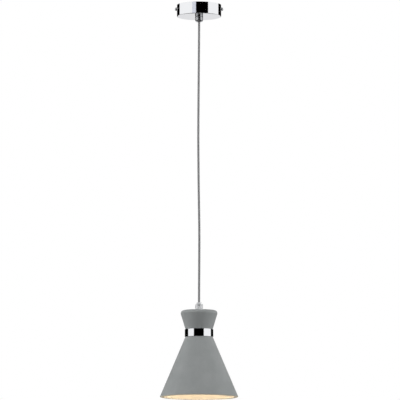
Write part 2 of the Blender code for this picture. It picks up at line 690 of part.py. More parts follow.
def bulb():
    tip = [(0.0, BULB_TIP_TOP), (0.0022, BULB_TIP_TOP - 0.0003), (0.0040, BULB_TIP_TOP - 0.0012)]
    tip += [(0.0042, BULB_TIP_TOP - 0.0018), (0.0, BULB_TIP_TOP - 0.0018)]
    turned("bulb_tip", "bulb_metal", tip, 20, closed=False)

    top = BULB_TIP_TOP - 0.0018 - GAP
    cone = [(0.0, top), (0.0050, top), (0.0092, BULB_CAP_TOP), (0.0092, BULB_CAP_TOP - 0.0012)]
    turned("bulb_insulator", "black_plastic", [*cone, (0.0, BULB_CAP_TOP - 0.0012)], 24, closed=False)

    bore = 0.0116
    root = CAP_MEAN_RADIUS - THREAD_DEPTH
    lip = [(0.0096, BULB_CAP_TOP), (root - 0.0004, BULB_CAP_TOP), (root, BULB_CAP_TOP - 0.0007)]
    thread_top = BULB_CAP_TOP - 0.0014
    thread_bottom = BULB_CAP_BOTTOM + 0.0034
    skirt = 0.0131
    points = lip + thread_rows(CAP_MEAN_RADIUS, thread_top, thread_bottom)
    points += [(skirt, thread_bottom - 0.0006), (skirt, BULB_CAP_BOTTOM), (bore, BULB_CAP_BOTTOM)]
    points += [(bore, BULB_CAP_TOP - 0.0022), (0.0096, BULB_CAP_TOP - 0.0010)]
    cap = turned("bulb_cap", "bulb_metal", points, THREAD_SEGMENTS)
    cut_thread(cap, CAP_MEAN_RADIUS, thread_top, thread_bottom, runout=-1)

    neck = bore - GAP
    shoulder = BULB_CAP_BOTTOM - GAP
    wall = 0.0014
    points = [(neck, BULB_CAP_BOTTOM + 0.0070), (neck, shoulder), (0.0138, shoulder)]
    flare = [(0.0150, shoulder - 0.0047), (0.0186, shoulder - 0.0127), (0.0226, shoulder - 0.0202)]
    flare.append((0.0246, HOUSING_END))
    points += flare + [(radius - wall, z) for radius, z in reversed(flare)]
    points += [(0.0100, shoulder), (0.0100, BULB_CAP_BOTTOM + 0.0070)]
    turned("bulb_housing", "white_plastic", points, 24)

    disc = HOUSING_END - GAP
    rod("led_board", "circuit_board", 0.0222, disc, disc - 0.0014, 24)
    place = (0.0, 0.0, BULB_CAP_BOTTOM + 0.0010)
    driver = block("driver_board", "circuit_board", (0.0140, 0.0012, 0.0240), place)
    bevel(driver, 0.0003)

    start_angle = 26
    outline = [(0.0246, HOUSING_END - GAP)]
    outline += arc((0.0, BULB_CENTRE_Z), BULB_RADIUS, start_angle, -90, 8)
    outline[-1] = (0.0, BULB_CENTRE_Z - BULB_RADIUS)
    globe = turned("bulb_globe", "opal_cover", outline, 24, closed=False)
    sheet = globe.modifiers.new("thickness", "SOLIDIFY")
    sheet.thickness = 0.0010
    sheet.offset = -1.0


# ---- assembly -----------------------------------------------------------------------------------

ceiling_bracket()
canopy_cup()
side_screws()
gland()
bush("gland_bush", SWING_Z)
terminal_block()
canopy_wiring()
hanging_cord()
cord_grip()
bush("grip_bush", TILT_Z)
shade_hardware()
LEDGE_TOP, LEDGE_BOTTOM = shade_stack()
lampholder(LEDGE_TOP, LEDGE_BOTTOM)
shade_wiring()
bulb()
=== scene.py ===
"""Looks of the pendant ceiling light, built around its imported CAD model.

Metres, +Z up. The origin is the centre of the face that lies against the ceiling, and the light
hangs along -Z.
"""
import math

import bmesh
import bpy
from mathutils import Matrix, Vector

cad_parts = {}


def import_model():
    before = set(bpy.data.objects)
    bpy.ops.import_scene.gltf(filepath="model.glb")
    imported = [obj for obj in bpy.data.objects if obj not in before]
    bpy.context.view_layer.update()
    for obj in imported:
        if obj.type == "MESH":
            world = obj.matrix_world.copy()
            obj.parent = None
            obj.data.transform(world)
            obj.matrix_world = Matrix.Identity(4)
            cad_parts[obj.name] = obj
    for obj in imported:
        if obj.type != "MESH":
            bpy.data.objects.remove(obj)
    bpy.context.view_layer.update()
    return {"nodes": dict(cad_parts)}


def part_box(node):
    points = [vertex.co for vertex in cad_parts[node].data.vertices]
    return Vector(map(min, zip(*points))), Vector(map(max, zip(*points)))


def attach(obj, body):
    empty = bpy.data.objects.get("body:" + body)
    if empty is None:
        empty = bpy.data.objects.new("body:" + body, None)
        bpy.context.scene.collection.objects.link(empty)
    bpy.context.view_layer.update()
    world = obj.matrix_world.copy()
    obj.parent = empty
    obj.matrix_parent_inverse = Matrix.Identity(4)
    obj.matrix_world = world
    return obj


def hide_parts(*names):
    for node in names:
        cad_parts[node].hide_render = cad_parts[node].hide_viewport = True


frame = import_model()

# ---- driving dimensions -------------------------------------------------------------------------

GAP = 0.0003  # clearance between pieces that touch, as in the CAD
CORD_RADIUS = 0.0025
CORD_BORE = 0.0030
SWING_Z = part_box("cord")[1].z + GAP  # where the cord leaves the canopy's gland
TILT_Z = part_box("cord")[0].z - GAP  # where the cord enters the grip on the shade
MOUTH_RADIUS = 0.00415  # the bore of both cord outlets round their soft bushes
BUSH_ROOM = 0.0027
BUSH_BORE = 0.0033
MOUTH_TAPER = 0.0010  # the height over which both outlets narrow to the cord's bore
SIDE_SCREW_Z = -0.0100
SIDE_HOLE_RADIUS = 0.0023  # of the cup and of the washers, for the side screws
M10_BORE = 0.00525

THREAD_PITCH = 0.00362  # the E27 lamp thread
THREAD_DEPTH = 0.00053
SHELL_MEAN_RADIUS = 0.0132
CAP_MEAN_RADIUS = 0.01275

RING_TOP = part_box("waist_ring")[1].z
RING_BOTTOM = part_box("waist_ring")[0].z
SPIGOT_RADIUS = 0.0297
WAIST_BORE = 0.0235

WEAVE_MAP = "round_and_along"  # the cord's UV map

FINE = 192  # segments of a large turned piece
MEDIUM = 96
THREADED = 72  # of the E27 threads
SMALL = 48
THIN = 36  # of the M10 tube

# ---- studio -------------------------------------------------------------------------------------

CAMERA_DISTANCE = 9.0
CAMERA_Z = -1.52
AIM = Vector((0.0021, 0.0, -0.4452))
LENS = 362.1
FLOOR_Z = -6.0
FLOOR_SIZE = 120.0
CARD_DISTANCE = 3.0


def add(name, data):
    item = bpy.data.objects.new(name, data)
    bpy.context.scene.collection.objects.link(item)
    return item


def camera():
    eye = Vector((0.0, -CAMERA_DISTANCE, CAMERA_Z))
    item = add("camera", bpy.data.cameras.new("camera"))
    item.location = eye
    item.rotation_euler = (AIM - eye).to_track_quat("-Z", "Y").to_euler()
    item.data.lens = LENS
    item.data.sensor_width = 36.0
    item.data.clip_start = 0.1
    item.data.clip_end = 200.0
    bpy.context.scene.camera = item


def world():
    """An even white surround, which is also the white that the camera sees."""
    made = bpy.data.worlds.new("white_surround")
    made.use_nodes = True
    background = made.node_tree.nodes["Background"]
    background.inputs["Color"].default_value = (1.0, 1.0, 1.0, 1.0)
    background.inputs["Strength"].default_value = 1.0
    bpy.context.scene.world = made
    bpy.context.scene.view_settings.view_transform = "Standard"


def plain(name, colour, roughness, glow=0.0):
    made = bpy.data.materials.new(name)
    made.use_nodes = True
    shader = made.node_tree.nodes["Principled BSDF"]
    shader.inputs["Base Color"].default_value = (*colour, 1.0)
    shader.inputs["Roughness"].default_value = roughness
    shader.inputs["Specular IOR Level"].default_value = 0.0
    shader.inputs["Emission Color"].default_value = (*colour, 1.0)
    shader.inputs["Emission Strength"].default_value = glow
    return made


def rectangle(name, corners, surface):
    mesh = bpy.data.meshes.new(name)
    mesh.from_pydata(corners, [], [(0, 1, 2, 3)])
    mesh.materials.append(surface)
    item = add(name, mesh)
    return item


def floor():
    reach = FLOOR_SIZE / 2
    corners = [(-reach, -reach), (reach, -reach), (reach, reach), (-reach, reach)]
    surface = plain("pale_floor", (0.80, 0.80, 0.81), 0.9)
    rectangle("floor", [(x, y, FLOOR_Z) for x, y in corners], surface)


def unseen(item):
    item.visible_camera = False
    item.visible_shadow = False


def upright_card(name, start_degrees, end_degrees, low, high, surface):
    """A card that stands on an arc round the light and only shows in reflections and in the shading.

    Angles count from the camera's side, positive towards +X.
    """
    steps = max(2, round(abs(end_degrees - start_degrees) / 6))
    vertices = []
    for step in range(steps + 1):
        angle = math.radians(start_degrees + (end_degrees - start_degrees) * step / steps)
        x, y = CARD_DISTANCE * math.sin(angle), -CARD_DISTANCE * math.cos(angle)
        vertices += [(x, y, low), (x, y, high)]
    faces = [(2 * i, 2 * i + 2, 2 * i + 3, 2 * i + 1) for i in range(steps)]
    mesh = bpy.data.meshes.new(name)
    mesh.from_pydata(vertices, [], faces)
    mesh.materials.append(surface)
    item = add(name, mesh)
    unseen(item)


def cards():
    """Cards that give the chrome its dark middle and edges.

    They also give the concrete its darker front and underside.
    """
    black = plain("black_card", (0.0, 0.0, 0.0), 1.0)
    soft = plain("soft_card", (0.54, 0.56, 0.62), 1.0, 0.85)
    grey = plain("grey_card", (0.20, 0.20, 0.20), 1.0)
    upright_card("card_canopy_front", -16, 48, 0.05, 1.30, black)
    upright_card("card_canopy_soft", -36, -16, 0.05, 1.30, soft)
    upright_card("card_canopy_right", 120, 178, 0.05, 1.30, black)
    upright_card("card_canopy_left", -178, -122, 0.05, 1.30, black)
    upright_card("card_band_front", -43, 39, -1.00, 0.05, black)
    upright_card("card_band_right", 110, 176, -1.00, 0.05, black)
    upright_card("card_band_left", -176, -98, -1.00, 0.05, black)
    upright_card("card_front_low", -115, 115, -3.40, -0.70, grey)
    for name, height, reach in (("card_below", -2.6, 2.0), ("card_above", 2.0, 2.8)):
        corners = [(-reach, -reach), (reach, -reach), (reach, reach), (-reach, reach)]
        unseen(rectangle(name, [(x, y, height) for x, y in corners], black))


def soft_light(name, place, power, size, colour=(1.0, 1.0, 1.0)):
    """A square light that only shows in the shading of the matt surfaces."""
    data = bpy.data.lights.new(name, "AREA")
    data.color = colour
    data.energy = power
    data.size = size
    item = add(name, data)
    item.location = place
    item.rotation_euler = (Vector((0.0, 0.0, -0.75)) - Vector(place)).to_track_quat("-Z", "Y").to_euler()
    item.visible_camera = False
    item.visible_glossy = False


# ---- materials ----------------------------------------------------------------------------------


class Recipe:
    """A Principled material with helpers for the nodes that give it its detail."""

    def __init__(self, name, colour, roughness, metallic=0.0, **settings):
        self.material = bpy.data.materials.new(name)
        self.material.use_nodes = True
        self.tree = self.material.node_tree
        self.shader = self.tree.nodes["Principled BSDF"]
        self.shader.inputs["Base Color"].default_value = (*colour, 1.0)
        self.shader.inputs["Roughness"].default_value = roughness
        self.shader.inputs["Metallic"].default_value = metallic
        for label, value in settings.items():
            self.shader.inputs[label.replace("_", " ")].default_value = value
        self.place = self.tree.nodes.new("ShaderNodeTexCoord").outputs["Object"]

    def link(self, source, target):
        self.tree.links.new(source, target)

    def node(self, kind, **values):
        made = self.tree.nodes.new(kind)
        for label, value in values.items():
            if label in made.inputs:
                made.inputs[label].default_value = value
            else:
                setattr(made, label, value)
        return made

    def noise(self, scale, detail=4.0, roughness=0.55, stretch=(1.0, 1.0, 1.0)):
        mapping = self.node("ShaderNodeMapping")
        mapping.inputs["Scale"].default_value = stretch
        self.link(self.place, mapping.inputs["Vector"])
        made = self.node("ShaderNodeTexNoise", Scale=scale, Detail=detail, Roughness=roughness)
        self.link(mapping.outputs["Vector"], made.inputs["Vector"])
        return made.outputs["Fac"]

    def cells(self, scale):
        made = self.node("ShaderNodeTexVoronoi", Scale=scale)
        self.link(self.place, made.inputs["Vector"])
        return made.outputs["Distance"]

    def spread(self, source, low, high, start=0.0, end=1.0, smooth=False):
        made = self.node("ShaderNodeMapRange")
        made.interpolation_type = "SMOOTHSTEP" if smooth else "LINEAR"
        made.inputs["From Min"].default_value = start
        made.inputs["From Max"].default_value = end
        made.inputs["To Min"].default_value = low
        made.inputs["To Max"].default_value = high
        self.link(source, made.inputs["Value"])
        return made.outputs["Result"]

    def tint(self, factor, first, second):
        """The base colour runs from the first colour to the second with the factor."""
        made = self.node("ShaderNodeMix", data_type="RGBA")
        self.link(factor, made.inputs["Factor"])
        for socket, colour in zip((made.inputs[6], made.inputs[7]), (first, second)):
            if isinstance(colour, tuple):
                socket.default_value = (*colour, 1.0)
            else:
                self.link(colour, socket)
        self.link(made.outputs[2], self.shader.inputs["Base Color"])
        return made.outputs[2]

    def rough(self, source, low, high):
        self.link(self.spread(source, low, high), self.shader.inputs["Roughness"])

    def bump(self, source, depth, after=None):
        made = self.node("ShaderNodeBump", Strength=1.0, Distance=depth)
        self.link(source, made.inputs["Height"])
        if after:
            self.link(after, made.inputs["Normal"])
        self.link(made.outputs["Normal"], self.shader.inputs["Normal"])
        return made.outputs["Normal"]


def chrome():
    made = Recipe("chrome_plate", (0.86, 0.87, 0.89), 0.04, 1.0)
    haze = made.noise(140.0, 6.0)
    made.rough(haze, 0.025, 0.075)
    made.tint(made.noise(22.0), (0.84, 0.85, 0.87), (0.89, 0.90, 0.92))
    return made.material


def satin_chrome():
    made = Recipe("satin_chrome", (0.64, 0.65, 0.67), 0.26, 1.0)
    haze = made.noise(240.0, 5.0)
    made.rough(haze, 0.20, 0.34)
    made.tint(made.noise(60.0), (0.61, 0.62, 0.64), (0.68, 0.69, 0.71))
    made.bump(haze, 0.00002)
    return made.material


def concrete():
    """Fine cast concrete: cloudy patches, sand grain, small pores painted darker as painted shade, and a
    dusty matt surface.
    """
    made = Recipe("cast_concrete", (0.41, 0.43, 0.43), 0.92, 0.0, Specular_IOR_Level=0.2)
    cloud = made.noise(28.0, 5.0, 0.6)
    patches = made.tint(made.spread(cloud, 0.0, 1.0, 0.3, 0.7), (0.385, 0.405, 0.404), (0.445, 0.463, 0.462))
    grain = made.spread(made.noise(1500.0, 3.0, 0.7), 0.0, 1.0, 0.35, 0.65)
    sand = made.node("ShaderNodeMix", data_type="RGBA", blend_type="MULTIPLY")
    sand.inputs["Factor"].default_value = 0.16
    made.link(patches, sand.inputs[6])
    made.link(grain, sand.inputs[7])
    pores = made.spread(made.cells(260.0), 0.0, 1.0, 0.06, 0.16, smooth=True)
    chosen = made.spread(made.noise(90.0, 2.0), 0.0, 1.0, 0.52, 0.60, smooth=True)
    pore_relief_and_shade = made.node("ShaderNodeMath", operation="MAXIMUM")
    made.link(pores, pore_relief_and_shade.inputs[0])
    made.link(made.spread(chosen, 1.0, 0.0), pore_relief_and_shade.inputs[1])
    # painted shade: the pores are painted dark (0.26) where shade falls in them, and the same mask sinks them
    # in the bump
    made.tint(pore_relief_and_shade.outputs[0], (0.26, 0.27, 0.27), sand.outputs[2])
    made.rough(cloud, 0.84, 0.97)
    first = made.bump(made.noise(900.0, 6.0, 0.7), 0.00012)
    second = made.bump(pore_relief_and_shade.outputs[0], 0.0003, first)
    made.bump(cloud, 0.0004, second)
    return made.material


def inner_coat():
    """The light coat inside the shade, rolled on over the concrete."""
    made = Recipe("inner_coat", (0.80, 0.78, 0.74), 0.75, 0.0, Specular_IOR_Level=0.3)
    made.tint(made.noise(40.0, 5.0), (0.76, 0.74, 0.70), (0.84, 0.82, 0.78))
    made.rough(made.noise(60.0), 0.65, 0.85)
    made.bump(made.noise(420.0, 4.0), 0.00015)
    return made.material


def zinc():
    made = Recipe("zinc_plate", (0.55, 0.56, 0.58), 0.35, 1.0)
    brushed = made.noise(900.0, 4.0, 0.6, (1.0, 14.0, 14.0))
    made.rough(brushed, 0.24, 0.46)
    made.tint(made.noise(60.0), (0.50, 0.51, 0.52), (0.62, 0.62, 0.63))
    made.bump(brushed, 0.00003)
    return made.material


def brass():
    made = Recipe("turned_brass", (0.72, 0.53, 0.24), 0.28, 1.0)
    lines = made.noise(2600.0, 3.0, 0.5, (0.05, 0.05, 1.0))
    made.rough(lines, 0.20, 0.38)
    made.tint(made.noise(120.0), (0.66, 0.47, 0.20), (0.78, 0.59, 0.29))
    made.bump(lines, 0.00002)
    return made.material


def moulded(name, dark, light, low, high, grain=1800.0, depth=0.00002, **settings):
    """Moulded plastic or rubber with a fine texture."""
    made = Recipe(name, light, high, 0.0, **settings)
    made.tint(made.noise(90.0), dark, light)
    texture = made.noise(grain, 3.0, 0.6)
    made.rough(texture, low, high)
    made.bump(texture, depth)
    return made.material


def clear_grip():
    made = Recipe("clear_grip", (0.93, 0.94, 0.95), 0.3, 0.0, IOR=1.46, Transmission_Weight=0.25)
    swirl = made.noise(260.0, 4.0)
    made.rough(swirl, 0.22, 0.42)
    made.tint(made.noise(150.0), (0.91, 0.92, 0.93), (0.96, 0.97, 0.98))
    made.bump(swirl, 0.00006)
    return made.material


def woven_cord():
    """A round textile cord: two families of threads that cross around it.

    The UV map runs round and along it.
    """
    made = Recipe("woven_cord", (0.22, 0.22, 0.22), 0.85, 0.0, Sheen_Weight=0.15)
    threads = []
    for lean in (1.0, -1.0):
        mapping = made.node("ShaderNodeMapping")
        mapping.inputs["Rotation"].default_value = (0.0, 0.0, lean * math.radians(40))
        flat_map = made.node("ShaderNodeUVMap", uv_map=WEAVE_MAP)
        made.link(flat_map.outputs["UV"], mapping.inputs["Vector"])
        wave = made.node("ShaderNodeTexWave", Scale=4.0)
        wave.bands_direction = "X"
        made.link(mapping.outputs["Vector"], wave.inputs["Vector"])
        threads.append(wave.outputs["Fac"])
    weave_relief_and_shade = made.node("ShaderNodeMath", operation="MAXIMUM")
    made.link(threads[0], weave_relief_and_shade.inputs[0])
    made.link(threads[1], weave_relief_and_shade.inputs[1])
    # painted shade: the grooves between the threads are painted darker than their crowns, from the same
    # height as the bump
    made.tint(weave_relief_and_shade.outputs[0], (0.225, 0.225, 0.228), (0.365, 0.365, 0.370))
    made.bump(weave_relief_and_shade.outputs[0], 0.00012)
    return made.material


def lit_cover():
    """The bulb's opal cover, lit from inside with warm white light."""
    made = Recipe("lit_opal_cover", (0.95, 0.92, 0.86), 0.35, 0.0)
    made.tint(made.noise(200.0), (0.93, 0.90, 0.84), (0.97, 0.94, 0.88))
    made.shader.inputs["Emission Color"].default_value = (1.0, 0.78, 0.50, 1.0)
    made.shader.inputs["Emission Strength"].default_value = 6.0
    return made.material


MATERIALS = {
    "chrome": chrome(),
    "concrete": concrete(),
    "inner_coat": inner_coat(),
    "zinc_steel": zinc(),
    "brass": brass(),
    "grey_cord": woven_cord(),
    "brown_wire": moulded("brown_core", (0.10, 0.035, 0.02), (0.16, 0.06, 0.03), 0.35, 0.55),
    "blue_wire": moulded("blue_core", (0.02, 0.09, 0.36), (0.03, 0.13, 0.48), 0.35, 0.55),
    "white_plastic": moulded("white_plastic", (0.78, 0.78, 0.76), (0.86, 0.86, 0.84), 0.35, 0.55),
    "black_plastic": moulded("black_plastic", (0.020, 0.020, 0.021), (0.034, 0.034, 0.035), 0.34, 0.56),
    "grey_rubber": moulded("grey_rubber", (0.09, 0.09, 0.09), (0.13, 0.13, 0.13), 0.70, 0.90),
    "white_ceramic": moulded("white_ceramic", (0.74, 0.73, 0.70), (0.82, 0.81, 0.78), 0.28, 0.46),
    "bulb_metal": moulded(
        "rolled_aluminium", (0.66, 0.66, 0.66), (0.76, 0.76, 0.76), 0.22, 0.40, Metallic=1.0
    ),
    "circuit_board": moulded("circuit_board", (0.84, 0.84, 0.82), (0.92, 0.92, 0.90), 0.40, 0.55),
    "clear_plastic": clear_grip(),
    "opal_cover": lit_cover(),
}

# ---- mesh tools ---------------------------------------------------------------------------------


def arc(centre, radius, start, end, steps):
    """Points of a circular arc in a profile's plane; the angles are in degrees."""
    points = []
    for step in range(steps + 1):
        angle = math.radians(start + (end - start) * step / steps)
        points.append((centre[0] + radius * math.cos(angle), centre[1] + radius * math.sin(angle)))
    return points


def rounded(corner, before, after, radius, steps=10):
    """The arc that replaces a profile's corner, from the side of `before` to the side of `after`.

    A further point just off each end keeps the two sides looking flat under smooth shading.
    """
    at = Vector(corner)
    towards_before = (Vector(before) - at).normalized()
    towards_after = (Vector(after) - at).normalized()
    half = towards_before.angle(towards_after) / 2
    first = at + towards_before * radius / math.tan(half)
    last = at + towards_after * radius / math.tan(half)
    centre = at + (towards_before + towards_after).normalized() * radius / math.sin(half)
    start = math.degrees(math.atan2(*reversed(first - centre)))
    sweep = math.degrees(math.atan2(*reversed(last - centre))) - start
    sweep = (sweep + 180) % 360 - 180
    hold = radius * 0.12
    curve = arc(centre, (first - centre).length, start, start + sweep, steps)
    return [tuple(first + towards_before * hold), *curve, tuple(last + towards_after * hold)]


def soften(points, radius, closed):
    """Rounds each clear corner of a profile, as far as its sides allow, and keeps the sides flat."""
    result = []
    count = len(points)
    for index, at in enumerate(points):
        before = points[index - 1] - at
        after = points[(index + 1) % count] - at
        corner = math.pi - before.angle(after)
        if corner < math.radians(14) or (not closed and index in (0, count - 1)):
            result.append(at)
            continue
        reach = min(radius * math.tan(corner / 2), before.length * 0.45, after.length * 0.45)
        start, end = at + before.normalized() * reach, at + after.normalized() * reach
        result.append(at + before.normalized() * min(reach * 1.5, before.length * 0.48))
        for step in range(4):
            t = step / 3
            result.append(start * (1 - t) ** 2 + at * 2 * t * (1 - t) + end * t ** 2)
        result.append(at + after.normalized() * min(reach * 1.5, after.length * 0.48))
    return result


def finish_mesh(name, shape, sharp_degrees=38):
    bmesh.ops.recalc_face_normals(shape, faces=shape.faces)
    mesh = bpy.data.meshes.new(name)
    shape.to_mesh(mesh)
    shape.free()
    mesh.shade_smooth()
    mesh.set_sharp_from_angle(angle=math.radians(sharp_degrees))
    return add(name, mesh)


def lathe(name, profile, segments=MEDIUM, closed=True, edge=0.0003, wall=None):
    """A turned piece about Z. Its profile is a list of (radius, height) points.

    `wall` may give a point another radius, from its radius, height and angle, for threads and ribs.
    """
    points = [Vector(point) for point in profile]
    if edge:
        points = soften(points, edge, closed)
    shape = bmesh.new()
    rings = []
    for radius, height in points:
        if radius < 1e-7:
            rings.append([shape.verts.new((0.0, 0.0, height))])
            continue
        ring = []
        for segment in range(segments):
            angle = math.tau * segment / segments
            reach = wall(radius, height, angle) if wall else radius
            ring.append(shape.verts.new((reach * math.cos(angle), reach * math.sin(angle), height)))
        rings.append(ring)
    following = rings[1:] + rings[:1] if closed else rings[1:]
    for first, second in zip(rings, following):
        for segment in range(segments):
            after = segment + 1
            corners = [first[segment % len(first)], first[after % len(first)]]
            corners += [second[after % len(second)], second[segment % len(second)]]
            distinct = list(dict.fromkeys(corners))
            if len(distinct) > 2:
                shape.faces.new(distinct)
    return finish_mesh(name, shape)


def tube_along(name, route, radius, around=24, ball_ends=False):
    """A round tube along a route. Its UV map runs round and along it at one scale, for the weave.

    A ball end goes on beyond the route, so that the tube can turn about its last point in a socket.
    """
    radii = [radius] * len(route)
    if ball_ends:
        steps = [math.radians(degrees) for degrees in range(10, 81, 10)]
        route = list(route)
        for _ in range(2):
            outwards = (route[0] - route[1]).normalized()
            dome = [route[0] + outwards * radius * math.sin(step) for step in steps]
            route = [*reversed(route), *dome]
            radii = [*reversed(radii), *(radius * math.cos(step) for step in steps)]
    distance = [0.0]
    for before, after in zip(route, route[1:]):
        distance.append(distance[-1] + (after - before).length)
    shape = bmesh.new()
    rings = []
    for index, point in enumerate(route):
        ahead = route[min(index + 1, len(route) - 1)] - route[max(index - 1, 0)]
        lean = Vector((0, 0, -1)).rotation_difference(ahead).to_matrix()
        ring = []
        for step in range(around):
            angle = math.tau * step / around
            spoke = lean @ Vector((math.cos(angle), math.sin(angle), 0)) * radii[index]
            ring.append(shape.verts.new(point + spoke))
        rings.append(ring)
    uv = shape.loops.layers.uv.new(WEAVE_MAP)
    turns = math.tau * radius
    for index, (first, second) in enumerate(zip(rings, rings[1:])):
        for step in range(around):
            after = (step + 1) % around
            face = shape.faces.new((first[step], first[after], second[after], second[step]))
            rounds = (step, step + 1, step + 1, step)
            heights = (distance[index], distance[index], distance[index + 1], distance[index + 1])
            for loop, turned, height in zip(face.loops, rounds, heights):
                loop[uv].uv = (turned / around, height / turns)
    shape.faces.new(rings[0])
    shape.faces.new(list(reversed(rings[-1])))
    return finish_mesh(name, shape, 60)


def dress(item, body, slot, *nodes):
    """Gives a piece the material of its slot, puts it on its body and hides the CAD nodes that it stands for.
    """
    item.data.materials.clear()
    item.data.materials.append(MATERIALS[slot])
    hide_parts(*nodes)
    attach(item, body)
    return item


def bake_modifiers(item):
    graph = bpy.context.evaluated_depsgraph_get()
    mesh = bpy.data.meshes.new_from_object(item.evaluated_get(graph))
    item.modifiers.clear()
    item.data = mesh


def smooth(item, degrees=38):
    item.data.shade_smooth()
    item.data.set_sharp_from_angle(angle=math.radians(degrees))


def carve(item, *cutters):
    """Cuts the cutters out of a piece and removes them."""
    for cutter in cutters:
        modifier = item.modifiers.new("carve", "BOOLEAN")
        modifier.operation = "DIFFERENCE"
        modifier.object = cutter
    bake_modifiers(item)
    for cutter in cutters:
        bpy.data.objects.remove(cutter)
    smooth(item)
    return item


def upright(axis):
    """The turn that takes +Z to the axis."""
    return Vector((0, 0, 1)).rotation_difference(Vector(axis)).to_matrix().to_4x4()


def box_cutter(size, centre):
    mesh = bpy.data.meshes.new("cutter")
    shape = bmesh.new()
    bmesh.ops.create_cube(shape, size=1.0, matrix=Matrix.Translation(centre) @ Matrix.Diagonal((*size, 1.0)))
    shape.to_mesh(mesh)
    shape.free()
    return add("cutter", mesh)


def round_cutter(radius, length, centre, axis):
    mesh = bpy.data.meshes.new("cutter")
    shape = bmesh.new()
    bmesh.ops.create_cone(
        shape, cap_ends=True, segments=SMALL, radius1=radius, radius2=radius, depth=length,
        matrix=Matrix.Translation(centre) @ upright(axis),
    )
    shape.to_mesh(mesh)
    shape.free()
    return add("cutter", mesh)


def span(node):
    """A turned node's outer radius, top and bottom."""
    low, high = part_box(node)
    return high.x, high.z, low.z


def thread(mean, depth, pitch, top, bottom, runout):
    """A right-handed round thread on the wall that stands at the mean radius.

    It runs out at both ends towards its root: outwards (1) in a shell, inwards (-1) on a cap.
    """

    def wall(radius, height, angle):
        inside = min(top - height, height - bottom)
        if abs(radius - mean) > 0.00005 or inside < -1e-6:
            return radius
        share = min(1.0, max(0.0, inside / (pitch / 2)))
        wave = math.sin(math.tau * height / pitch - angle)
        return mean + depth * (share * wave + (1.0 - share) * runout)

    return wall


def rows(radius, top, bottom, pitch, per_turn=12):
    count = round((top - bottom) / pitch * per_turn)
    return [(radius, top + (bottom - top) * row / count) for row in range(count + 1)]


def refined(node, body, slot, edge=0.0003, soft_steps=0, degrees=38):
    """A CAD node's own shape with broken edges, or rounded off for a bent wire, and smooth round faces."""
    source = frame["nodes"][node]
    item = add(node + "_fine", source.data.copy())
    if soft_steps:
        rounding = item.modifiers.new("rounding", "SUBSURF")
        rounding.levels = rounding.render_levels = soft_steps
        bake_modifiers(item)
    elif edge:
        breaking = item.modifiers.new("edges", "BEVEL")
        breaking.width = edge
        breaking.segments = 2
        breaking.limit_method = "ANGLE"
        breaking.angle_limit = math.radians(32)
        breaking.use_clamp_overlap = True
        bake_modifiers(item)
    smooth(item, degrees)
    return dress(item, body, slot, node)


def flat_ring(node, bore, body, slot, segments=MEDIUM, edge=0.0003):
    """A washer or bush in place of its CAD node."""
    radius, top, bottom = span(node)
    profile = [(radius, top), (radius, bottom), (bore, bottom), (bore, top)]
    dress(lathe(node + "_fine", profile, segments, edge=edge), body, slot, node)


def screw_hole(item, node, radius, front):
    """A hole in the front of a turned piece for its small clamp screw."""
    low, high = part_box(node)
    carve(item, round_cutter(radius, 0.010, (0.0, front, (low.z + high.z) / 2), (0, 1, 0)))


# ---- ceiling fixing and canopy ------------------------------------------------------------------


def ceiling_fixing():
    refined("ceiling_bracket", "bracket", "zinc_steel", 0.0003)
    for label in ("left", "right"):
        refined("canopy_nut_" + label, "canopy", "zinc_steel", 0.0002)


def canopy():
    radius, top, bottom = span("canopy_cup")
    wall, edge = 0.0010, 0.0012
    rolled = arc((radius - edge, bottom + edge), edge, 0, -90, 8)  # the cup's rounded lower edge
    profile = [(radius, top), (radius, bottom + edge + 0.0003), *rolled, (radius - edge - 0.0003, bottom)]
    profile += [(M10_BORE, bottom), (M10_BORE, bottom + wall)]
    profile += [(radius - wall - 0.0006, bottom + wall), (radius - wall, bottom + wall + 0.0006)]
    profile += [(radius - wall, top)]
    cup = lathe("canopy", profile, FINE, edge=0.0001)
    holes = []
    for side in (-1, 1):
        holes.append(round_cutter(SIDE_HOLE_RADIUS, 0.012, (side * radius, 0.0, SIDE_SCREW_Z), (1, 0, 0)))
    carve(cup, *holes)
    dress(cup, "canopy", "chrome", "canopy_cup")


def gland():
    """The cord gland under the canopy: a stem, a straight wall and a domed end round the cord.

    Its washer, its nut and the cord clamp are inside the canopy.
    """
    radius, top, bottom = span("gland_body")
    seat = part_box("canopy_cup")[0].z - GAP
    thread_radius, lip, rise = 0.0049, 0.0050, 0.0058
    dome = []
    for turn, lift in arc((0.0, 0.0), 1.0, 0, -90, 12):
        dome.append((lip + (radius - lip) * turn, bottom + rise * (1 + lift)))
    bush_top = SWING_Z + BUSH_ROOM
    profile = [(thread_radius, top), (thread_radius, seat), (radius, seat), *dome, (MOUTH_RADIUS, bottom)]
    profile += [(MOUTH_RADIUS, bush_top), (CORD_BORE, bush_top + MOUTH_TAPER), (CORD_BORE, top)]
    body = lathe("cord_gland", profile, MEDIUM, edge=0.0002)
    dress(body, "canopy", "chrome", "gland_body")
    body.data.materials[0] = satin_chrome()

    flat_ring("gland_washer", M10_BORE, "canopy", "zinc_steel")
    refined("gland_nut", "canopy", "brass", 0.0003)
    refined("cord_clamp", "canopy", "white_plastic", 0.0003)
    refined("cord_clamp_screw", "canopy", "zinc_steel", 0.0001)


def bushes():
    """The soft rings that let the cord lean in its two outlets."""
    for node, body in (("gland_bush", "gland_pivot"), ("grip_bush", "grip_pivot")):
        flat_ring(node, BUSH_BORE, body, "grey_rubber", SMALL, 0.0004)


